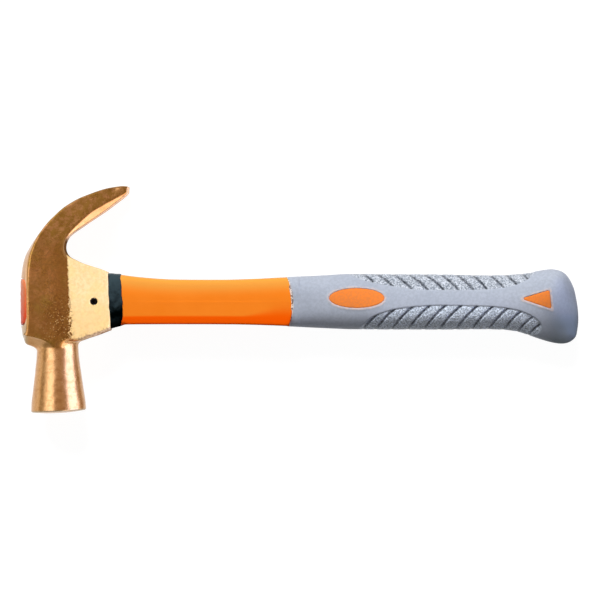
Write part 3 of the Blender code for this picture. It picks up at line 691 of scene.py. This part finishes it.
def bronze_look():
    look = Look("cast_bronze", 0.2, 1.0)
    broad = look.noise(22.0, 4.0)
    fine = look.noise(1.7, 5.0, 0.65)
    grain = look.noise(0.7, 2.0, 0.6)
    crease = look.value("crease")
    grit = look.value("grit")
    reach = look.ramp(grit, 0.0, 1.0, 0.5, 1.9)
    blasted = look.ramp(look.plus(crease, look.times(look.ramp(fine, 0.3, 0.7, -1.0, 1.0), reach)),
                        -0.55, 0.55)
    poll = look.value("poll")
    cheek = look.mix(look.ramp(broad, 0.3, 0.7), rgb(0.43, 0.195, 0.044), rgb(0.37, 0.17, 0.046))
    cheek = look.mix(look.value("claw"), cheek, rgb(0.40, 0.205, 0.060))
    blotch = look.noise(6.0, 5.0, 0.6)
    cheek = look.mottle(cheek, blotch, 0.42, 0.66, 0.75, rgb(0.53, 0.235, 0.085))
    cheek = look.mottle(cheek, look.noise(9.0, 3.0), 0.50, 0.68, 0.75, rgb(0.34, 0.205, 0.033))
    cheek = look.mottle(cheek, fine, 0.42, 0.62, 0.62, rgb(0.26, 0.122, 0.032))
    patch = look.mix(look.ramp(look.noise(3.5, 4.0, 0.7), 0.43, 0.57), rgb(0.29, 0.155, 0.026),
                     rgb(0.51, 0.255, 0.105))
    cheek = look.mix(look.ramp(look.value("claw"), 0.0, 1.0, 0.15, 0.75), cheek, patch)
    cheek = look.mix(look.ramp(crease, -16.0, -2.0, 0.0, 0.5), cheek, rgb(0.33, 0.145, 0.034))
    # painted shade: the cheek darkened towards the bottom of the head, the side away from the key light
    cheek = look.tint(cheek, "painted_shade_low", 0.35, rgb(0.24, 0.105, 0.022))
    turned = look.mix(look.ramp(fine, 0.3, 0.7), rgb(0.56, 0.300, 0.122), rgb(0.60, 0.325, 0.135))
    turned = look.mottle(turned, look.noise(3.0, 4.0, 0.6), 0.46, 0.62, 0.55, rgb(0.44, 0.205, 0.070))
    turned = look.mottle(turned, look.noise(2.2, 3.0, 0.7), 0.54, 0.64, 0.25, rgb(0.74, 0.44, 0.215))
    cheek = look.mix(poll, cheek, turned)
    # painted highlight: the ground strip along the crown lightened to a pale bronze
    cheek = look.tint(cheek, "crown", 0.85, rgb(0.84, 0.52, 0.29))
    # painted shade: the ground shoulder below the cheek darkened to an olive brown
    cheek = look.tint(cheek, "shoulder", 0.65, rgb(0.33, 0.18, 0.072))
    # painted shade: the wall in the claw's throat darkened to a deep brown, and below made dull and without
    # specular
    cheek = look.mix(look.value("throat_shade"), cheek, rgb(0.26, 0.125, 0.035))
    cheek = look.tint(cheek, "rim", 0.7, rgb(0.36, 0.30, 0.19))
    speck = look.times(look.ramp(look.cells(1.25), 0.26, 0.10), look.ramp(grit, 0.0, 1.0, 0.08, 1.0))
    pit = look.times(look.ramp(look.noise(1.5, 2.0, 0.7), 0.49, 0.58), grit)
    cheek = look.mix(look.times(pit, 0.7), cheek, rgb(0.22, 0.09, 0.02))
    cheek = look.mix(speck, cheek, rgb(0.98, 0.70, 0.36))
    # painted shade: the socket's pale colour turns deeper orange towards the bottom
    pale = look.mix(look.value("painted_shade_low"), rgb(0.97, 0.75, 0.37), rgb(0.96, 0.66, 0.265))
    socket = look.mix(look.ramp(fine, 0.35, 0.68), pale, rgb(0.95, 0.63, 0.27))
    socket = look.mottle(socket, look.noise(7.0, 3.0), 0.46, 0.68, 0.5, rgb(0.92, 0.69, 0.25))
    # painted shade: darker orange clouds on the socket, strongest towards the bottom
    cloud = look.times(look.value("painted_shade_low"), look.ramp(look.noise(2.2, 4.0, 0.65), 0.44, 0.62, 0.0, 0.6))
    socket = look.mix(cloud, socket, rgb(0.84, 0.55, 0.20))
    # painted shade: the socket's underside bevel, facing away from the key light, darkened to brown
    socket = look.tint(socket, "under", 0.95, rgb(0.52, 0.36, 0.20))
    socket = look.mix(look.times(pit, 0.95), socket, rgb(0.26, 0.13, 0.05))
    colour = look.mix(blasted, cheek, socket)
    rough = look.plus(look.ramp(broad, 0.3, 0.7, 0.24, 0.30), look.times(blasted, 0.30))
    rough = look.minus(rough, look.times(poll, 0.015))
    rough = look.plus(rough, look.times(look.value("throat_shade"), 0.4))
    dull = look.plus(look.times(blasted, 0.55), look.times(look.value("throat_shade"), 0.9))
    metallic = look.minus(1.0, dull)
    bump = look.bump(fine, 0.10, look.ramp(grit, 0.0, 1.0, 0.28, 0.8))
    bump = look.bump(grain, 0.05, look.ramp(poll, 0.0, 1.0, 0.35, 0.15), bump)
    return look.set(Base_Color=colour, Roughness=rough, Metallic=metallic, Normal=bump,
                    Specular_IOR_Level=look.ramp(look.value("throat_shade"), 0.0, 1.0, 0.5, 0.0))


def grip_look():
    look = Look("grey_rubber", 0.55)
    broad = look.noise(30.0, 3.0)
    dots = look.cells(1.0)
    sparkle = look.ramp(look.noise(1.0, 2.0, 0.75), 0.40, 0.62)
    panel = look.value("panel")
    smooth = look.mix(look.ramp(broad, 0.3, 0.7), rgb(0.395, 0.432, 0.512), rgb(0.425, 0.462, 0.542))
    smooth = look.mottle(smooth, look.noise(1.6, 3.0, 0.6), 0.35, 0.65, 0.5, rgb(0.315, 0.345, 0.410))
    rough = look.mix(sparkle, rgb(0.21, 0.24, 0.285), rgb(0.64, 0.68, 0.76))
    rough_lower = look.mix(sparkle, rgb(0.285, 0.325, 0.385), rgb(0.77, 0.85, 0.98))
    rough = look.mix(look.value("lower"), rough, rough_lower)
    # painted shade: the butt end darkened, mostly on its lower side
    smooth = look.mix(look.value("butt_painted_shade"), smooth, rgb(0.118, 0.148, 0.162))
    colour = look.mix(panel, smooth, rough)
    # painted shade: the panels' grooves darkened to near black, more where they run deeper
    cut = look.times(look.value("groove"), look.ramp(look.noise(1.8, 3.0, 0.6), 0.34, 0.58, 0.55, 1.0))
    colour = look.mix(look.times(cut, panel), colour, rgb(0.022, 0.027, 0.037))
    # painted highlight: a pale line along the grip's front edge, broken into patches with dark brown between
    lip_light_pattern = look.ramp(look.noise(1.3, 2.0, 0.7), 0.45, 0.52)
    lip_painted_light = look.mix(lip_light_pattern, rgb(0.16, 0.10, 0.08), rgb(0.80, 0.70, 0.62))
    colour = look.mix(look.value("lip"), colour, lip_painted_light)
    # painted highlight: a pale peach ring on the rounded edges of the windows
    window_rim_highlight = look.times(look.value("rim"), look.ramp(look.noise(2.2, 3.0, 0.6), 0.36, 0.6, 0.25, 1.1))
    colour = look.mix(window_rim_highlight, colour, rgb(0.80, 0.58, 0.48))
    bump = look.bump(dots, 0.40, look.minus(panel, look.times(look.value("lower"), 0.2)))
    bump = look.bump(look.noise(0.6, 3.0), 0.02, 0.3, bump)
    roughness = look.minus(0.56, look.times(panel, 0.10))
    return look.set(Base_Color=colour, Roughness=roughness, Specular_IOR_Level=0.35, Normal=bump)


def jacket_look():
    look = Look("orange_jacket", 0.36)
    broad = look.noise(26.0, 3.0)
    colour = look.mix(look.ramp(broad, 0.3, 0.7), rgb(0.95, 0.222, 0.008), rgb(0.98, 0.242, 0.012))
    # painted shade: the lower facet's colour made deeper red-orange, with less green
    colour = look.mix(look.value("low"), colour, rgb(0.97, 0.108, 0.000))
    # painted sheen: the upper facet lightened and yellowed
    colour = look.mix(look.value("high"), colour, rgb(0.83, 0.330, 0.048))
    colour = look.mix(look.value("pad"), colour, rgb(0.90, 0.245, 0.040))
    specks = look.times(look.value("pad"), look.ramp(look.noise(1.3, 3.0, 0.65), 0.40, 0.60, 0.0, 0.55))
    colour = look.mix(specks, colour, rgb(0.74, 0.215, 0.060))
    fine = look.noise(0.8, 3.0)
    rough = look.ramp(look.noise(5.0, 4.0), 0.3, 0.7, 0.42, 0.52)
    shine = look.ramp(look.value("low"), 0.0, 1.0, 0.07, 0.01)
    return look.set(Base_Color=colour, Roughness=rough, Specular_IOR_Level=shine,
                    Normal=look.bump(fine, 0.02, 0.35))


def collar_look():
    look = Look("black_rubber", 0.42)
    # painted light: the collar lighter and bluer towards the top, the side the key light comes from, with
    # more specular there
    tone = look.plus(look.value("height"), look.ramp(look.noise(5.0, 4.0), 0.3, 0.7, -0.25, 0.25))
    colour = look.mix(look.ramp(tone, 0.0, 1.0), rgb(0.000, 0.001, 0.001), rgb(0.034, 0.055, 0.066))
    bump = look.bump(look.noise(2.2, 4.0), 0.25, 0.5)
    shine = look.ramp(look.value("height"), 0.1, 0.6, 0.0, 0.03)
    return look.set(Base_Color=colour, Specular_IOR_Level=shine,
                    Normal=look.bump(look.noise(0.7), 0.05, 0.4, bump))


def cap_look():
    look = Look("cap_resin", 0.32)
    tone = look.ramp(look.noise(9.0, 4.0), 0.3, 0.75)
    colour = look.mix(tone, rgb(0.76, 0.050, 0.008), rgb(0.84, 0.080, 0.014))
    # painted light: the resin lighter towards the top, the side the key light comes from
    colour = look.mix(look.value("height"), colour, rgb(0.88, 0.245, 0.085))
    bump = look.bump(look.noise(1.4, 3.0), 0.08, 0.5)
    return look.set(Base_Color=colour, Specular_IOR_Level=0.08, Normal=bump)


def pin_look():
    look = Look("spring_steel", 0.5, 0.6)
    tone = look.ramp(look.noise(1.2, 4.0), 0.4, 0.7)
    colour = look.mix(tone, rgb(0.006, 0.006, 0.007), rgb(0.03, 0.025, 0.02))
    return look.set(Base_Color=colour, Normal=look.bump(look.noise(0.4), 0.02, 0.4))


def plain_look(name, colour, roughness, metallic=0.0, grain_mm=1.0):
    look = Look(name, roughness, metallic)
    tone = look.noise(grain_mm * 8)
    darker = tuple(c * 0.82 for c in colour)
    mixed = look.mix(look.ramp(tone, 0.3, 0.7), rgb(*darker), rgb(*colour))
    return look.set(Base_Color=mixed, Normal=look.bump(look.noise(grain_mm), 0.05, 0.4))


# ---------------------------------------------------------------- studio


def stage_sheet(name, corners, z, base, glow, strength):
    """A flat sheet of the studio: the floor, or a card over the object."""
    mesh = bpy.data.meshes.new(name)
    (x0, y0), (x1, y1) = corners
    mesh.from_pydata([(x0, y0, z), (x1, y0, z), (x1, y1, z), (x0, y1, z)], [], [(0, 1, 2, 3)])
    made = bpy.data.objects.new(name, mesh)
    bpy.context.scene.collection.objects.link(made)
    paper = bpy.data.materials.new(name)
    paper.use_nodes = True
    shader = paper.node_tree.nodes["Principled BSDF"]
    shader.inputs["Base Color"].default_value = rgb(base, base, base)
    shader.inputs["Roughness"].default_value = 0.95
    shader.inputs["Specular IOR Level"].default_value = 0.0
    shader.inputs["Emission Color"].default_value = rgb(*glow)
    shader.inputs["Emission Strength"].default_value = strength
    mesh.materials.append(paper)
    return made


def aimed(kind, name, place, aim, energy, colour):
    light = bpy.data.lights.new(name, kind)
    light.energy, light.color = energy, colour
    lamp = bpy.data.objects.new(name, light)
    lamp.location = place
    lamp.rotation_euler = (Vector(aim) - Vector(place)).to_track_quat("-Z", "Y").to_euler()
    lamp.visible_camera = False
    bpy.context.scene.collection.objects.link(lamp)
    return lamp


HEAD_AT = (-0.148, 0.0, 0.02)
HAMMER_AT = (0.0, 0.0, 0.0)
WHITE = (1.0, 1.0, 1.0)

SENSOR = 36.0
CAMERA_UP = 3.4
VIEW_WIDTH = 0.366
CAMERA_AT = (0.00027, -0.0002, CAMERA_UP + 0.0174)

# name, where it shines from, strength, angular size
SUNS = (
    ("key", (-0.33, 1.15, 0.965), 3.7, 0.5),
    ("fill", (0.0, 0.0, 1.0), 0.7, 2.6),
    ("bounce", (0.0, 0.0, -1.0), 0.8, 2.6),
)

# name, azimuth, tilt from straight up, width, height, brightness, colour, turn about its own axis
PANEL_DISTANCE = 1.2
GLOSS_PANELS = (
    ("left_panel", 180.0, 30.0, 1.6, 0.62, 2.2, (0.92, 1.0, 1.25), 0.0),
    ("left_fade", 180.0, 52.0, 1.6, 0.30, 0.9, (0.95, 1.0, 1.1), 0.0),
    ("left_low", 180.0, 85.5, 1.6, 0.16, 0.75, (1.0, 0.95, 0.9), 0.0),
    ("right_panel", 0.0, 66.0, 1.6, 1.12, 2.9, (0.88, 1.07, 1.95), 14.0),
    ("front_panel", -53.0, 62.0, 0.9, 0.8, 2.2, (1.0, 0.9, 1.05), 0.0),
)


def gloss_panel(name, azimuth, tilt, wide, tall, brightness, colour, turn):
    """A softbox that only shows in reflections, placed by its direction from the head."""
    a, t = math.radians(azimuth), math.radians(tilt)
    way = Vector((math.cos(a) * math.sin(t), math.sin(a) * math.sin(t), math.cos(t)))
    place = Vector(HEAD_AT) + way * PANEL_DISTANCE
    lamp = aimed("AREA", name, place, HEAD_AT, brightness * math.pi * wide * tall, colour)
    turned = lamp.rotation_euler.to_matrix() @ Matrix.Rotation(math.radians(turn), 3, "Z")
    lamp.rotation_euler = turned.to_euler()
    lamp.data.shape = "RECTANGLE"
    lamp.data.size, lamp.data.size_y = wide, tall
    lamp.visible_diffuse = False


def sheets():
    """A pale floor that the camera sees, and two sheets that show only in the hammer's gloss."""
    floor = stage_sheet("floor", ((-4, -4), (4, 4)), -0.0002, 0.16, WHITE, 0.95)
    floor.visible_diffuse = floor.visible_shadow = False
    card = stage_sheet("overhead_card", ((-0.53, -1.5), (0.93, 0.80)), 1.45, 0.0, (0.55, 0.42, 0.30), 1.0)
    card.visible_camera = card.visible_diffuse = card.visible_shadow = False
    shade = stage_sheet("floor_shade", ((-0.103, -0.078), (-0.02, -0.004)), -0.0001, 0.0, (0.50, 0.37, 0.24),
                        1.0)
    shade.visible_camera = shade.visible_diffuse = shade.visible_shadow = False


def lamps():
    for name, place, strength, angle in SUNS:
        sun = aimed("SUN", name, place, HAMMER_AT, strength, WHITE)
        sun.data.angle = angle
        sun.visible_glossy = False
    for panel in GLOSS_PANELS:
        gloss_panel(*panel)


def surroundings():
    """A warm, dim room that shows only in reflections."""
    world = bpy.data.worlds.new("studio")
    world.use_nodes = True
    background = world.node_tree.nodes["Background"]
    background.inputs["Color"].default_value = rgb(1.0, 0.92, 0.70)
    background.inputs["Strength"].default_value = 0.5
    world.cycles_visibility.diffuse = False
    bpy.context.scene.world = world


def camera():
    lens = bpy.data.cameras.new("camera")
    lens.sensor_width = SENSOR
    lens.lens = SENSOR * CAMERA_UP / VIEW_WIDTH
    lens.clip_end = 20.0
    eye = bpy.data.objects.new("camera", lens)
    eye.location = CAMERA_AT
    eye.rotation_euler = (0.0, 0.0, 0.0)
    bpy.context.scene.collection.objects.link(eye)
    bpy.context.scene.camera = eye
    bpy.context.scene.view_settings.view_transform = "Standard"


def studio():
    sheets()
    lamps()
    surroundings()
    camera()


# ---------------------------------------------------------------- the pieces


def head_marks(x, y, z):
    """Where the head's finishes lie: cast, ground, turned and blasted, with the wear and grit on their
    borders; also painted shade (claw throat, socket underside, shoulder, lower part) and a painted highlight
    (crown strip).
    """
    half, under = head_read("half", x, y), head_read("under", x, y)
    past = np.abs(z) - half
    on_body = (y < 31.0) & (y > -29.0)
    crease = np.where(on_body, head_read("crease", x, y) - 12.0 * smoothstep(-22.8, -25.0, y), -9.0)
    ground = smoothstep(-0.15, -0.4, past) * smoothstep(2.0, -1.0, crease)
    hip = smoothstep(-22.5, -24.5, y) * smoothstep(6.0, 9.0, x)
    scale = smoothstep(12.0, -14.0, y) * smoothstep(-24.0, -5.0, crease) * smoothstep(3.0, 0.0, crease)
    seam = 0.8 * smoothstep(4.2, 0.8, under) * (crease > 0)
    face_rim = smoothstep(-1.1, -0.5, face_field(x, y, z)) * smoothstep(13.5, 15.5, np.hypot(x, z))
    crown_foot = 0.75 * ground * smoothstep(-17.0, -19.0, x) * smoothstep(-12.5, -15.0, y)
    return {
        # painted shade mask for the claw's throat
        "throat_shade": head_read("throat_shade", x, y) * smoothstep(-0.1, 0.3, half - np.abs(z)),
        # painted shade mask for the socket's underside bevel
        "under": smoothstep(2.4, 1.3, under) * smoothstep(0.0, 3.0, crease),
        # painted shade mask for the shoulder
        "shoulder": ground * smoothstep(-19.0, -21.0, y) * smoothstep(-29.0, -26.0, y) * (x < 0.0),
        "crease": crease,
        "poll": np.maximum(np.maximum(smoothstep(-27.5, -30.5, y), hip), ground),
        "claw": smoothstep(20.0, 48.0, y),
        "grit": np.maximum(scale * smoothstep(-28.5, -25.5, y), seam),
        # painted shade: 1 at the bottom of the head, 0 near the top
        "painted_shade_low": smoothstep(6.0, -12.0, y),
        # painted highlight mask for the ground crown strip
        "crown": (ground * smoothstep(-17.5, -19.5, x) * smoothstep(-16.5, -12.5, y)
                  * smoothstep(-3.6, -1.7, past)),
        "rim": np.maximum(face_rim, crown_foot),
    }


def build_head():
    points, quads = net(head_field, (-25.0, -70.5, -19.5), (46.0, 72.5, 19.5), 0.57)
    made = piece("head_casting", points, quads, bronze_look(), head_marks(*points.T))
    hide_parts("head")


def build_grip():
    points, quads = net(grip_field, (136.5, -28.5, -19.0), (320.5, 22.0, 19.0), 0.52)
    x, y, _ = points.T
    upper, lower = (smoothstep(0.2, -0.5, handle_read(key, x, y)) for key in ("upper", "lower"))
    # painted shade at the butt end, weighted towards the lower side
    butt_painted_shade = 0.12 * smoothstep(12.0, 0.0, y) + 0.88 * smoothstep(2.0, -16.0, y)
    marks = {
        "panel": np.maximum(upper, lower),
        "lower": lower,
        # painted highlight along the grip's front edge
        "lip": smoothstep(1.9, 1.3, x - front_edge(y)),
        # painted shade in the grooves, stronger towards the edge
        "groove": smoothstep(1.0, 0.35, handle_read("groove", x, y))
        * (0.45 + 0.55 * smoothstep(0.0, -4.0, handle_read("side", x, y))),
        # painted highlight around the windows
        "rim": 0.5 * smoothstep(0.9, 0.3, np.abs(windows(x, y) - 0.5)),
        "butt_painted_shade": smoothstep(290.0, 306.0, x) * butt_painted_shade,
    }
    made = piece("rubber_grip", points, quads, grip_look(), marks)
    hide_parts("grip")


def build_jacket():
    shaft, quads = net(shaft_field, (34.0, -20.0, -14.0), (146.0, 20.0, 14.0), 0.5)
    ellipse, more = net(pads_field, (163.0, -6.0, -17.0), (201.0, 10.0, 17.0), 0.5)
    arrow, last = net(pads_field, (281.0, -7.0, -20.0), (304.0, 10.0, 20.0), 0.5)
    points = np.vstack((shaft, ellipse, arrow))
    quads = np.vstack((quads, more + len(shaft), last + len(shaft) + len(ellipse)))
    x, y, _ = points.T
    side = handle_read("side", x, y)
    on_shaft = smoothstep(150.0, 145.0, x)
    fade = 8.0 * smoothstep(110.0, 141.0, x)
    # painted shade on the shaft's lower facet
    marks = {"low": on_shaft * (y < 0) * smoothstep(-6.0 - fade, -4.4, side),
             # painted sheen on the shaft's upper band
             "high": on_shaft * (y > 0) * smoothstep(-11.0, -2.5, side),
             "pad": smoothstep(150.0, 155.0, x)}
    made = piece("orange_jacket", points, quads, jacket_look(), marks)
    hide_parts("jacket")


# name, field, lower and upper corner, mesh step, look, node, slot
SMALL_PIECES = (
    ("sealing_collar", collar_field, (29.0, -19.5, -14.5), (42.0, 19.5, 14.5), 0.35, collar_look, "collar",
     "black_rubber"),
    ("resin_cap", cap_field, (-24.5, -16.5, -15.5), (-17.5, 15.5, 15.5), 0.35, cap_look, "eye_cap",
     "cap_resin"),
    ("spring_pin", pin_field, (19.5, -3.0, -12.5), (25.5, 3.0, 12.5), 0.22, pin_look, "cross_pin",
     "spring_steel"),
)


def build_small_pieces():
    for name, field, low, high, step, look, node, slot in SMALL_PIECES:
        points, quads = net(field, low, high, step)
        # height runs from 0 at the bottom to 1 at the top; the collar and cap use it for painted light
        made = piece(name, points, quads, look(), {"height": smoothstep(-15.0, 15.0, points[:, 1])})
        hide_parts(node)


def dress_frame():
    looks = {
        "core_rod": plain_look("fibreglass", (0.62, 0.60, 0.42), 0.5),
        "eye_bond": plain_look("bonding_resin", (0.30, 0.22, 0.12), 0.45),
    }
    for node, look in looks.items():
        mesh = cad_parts[node].data
        mesh.materials.clear()
        mesh.materials.append(look)


build_head()
build_grip()
build_jacket()
build_small_pieces()
dress_frame()
studio()
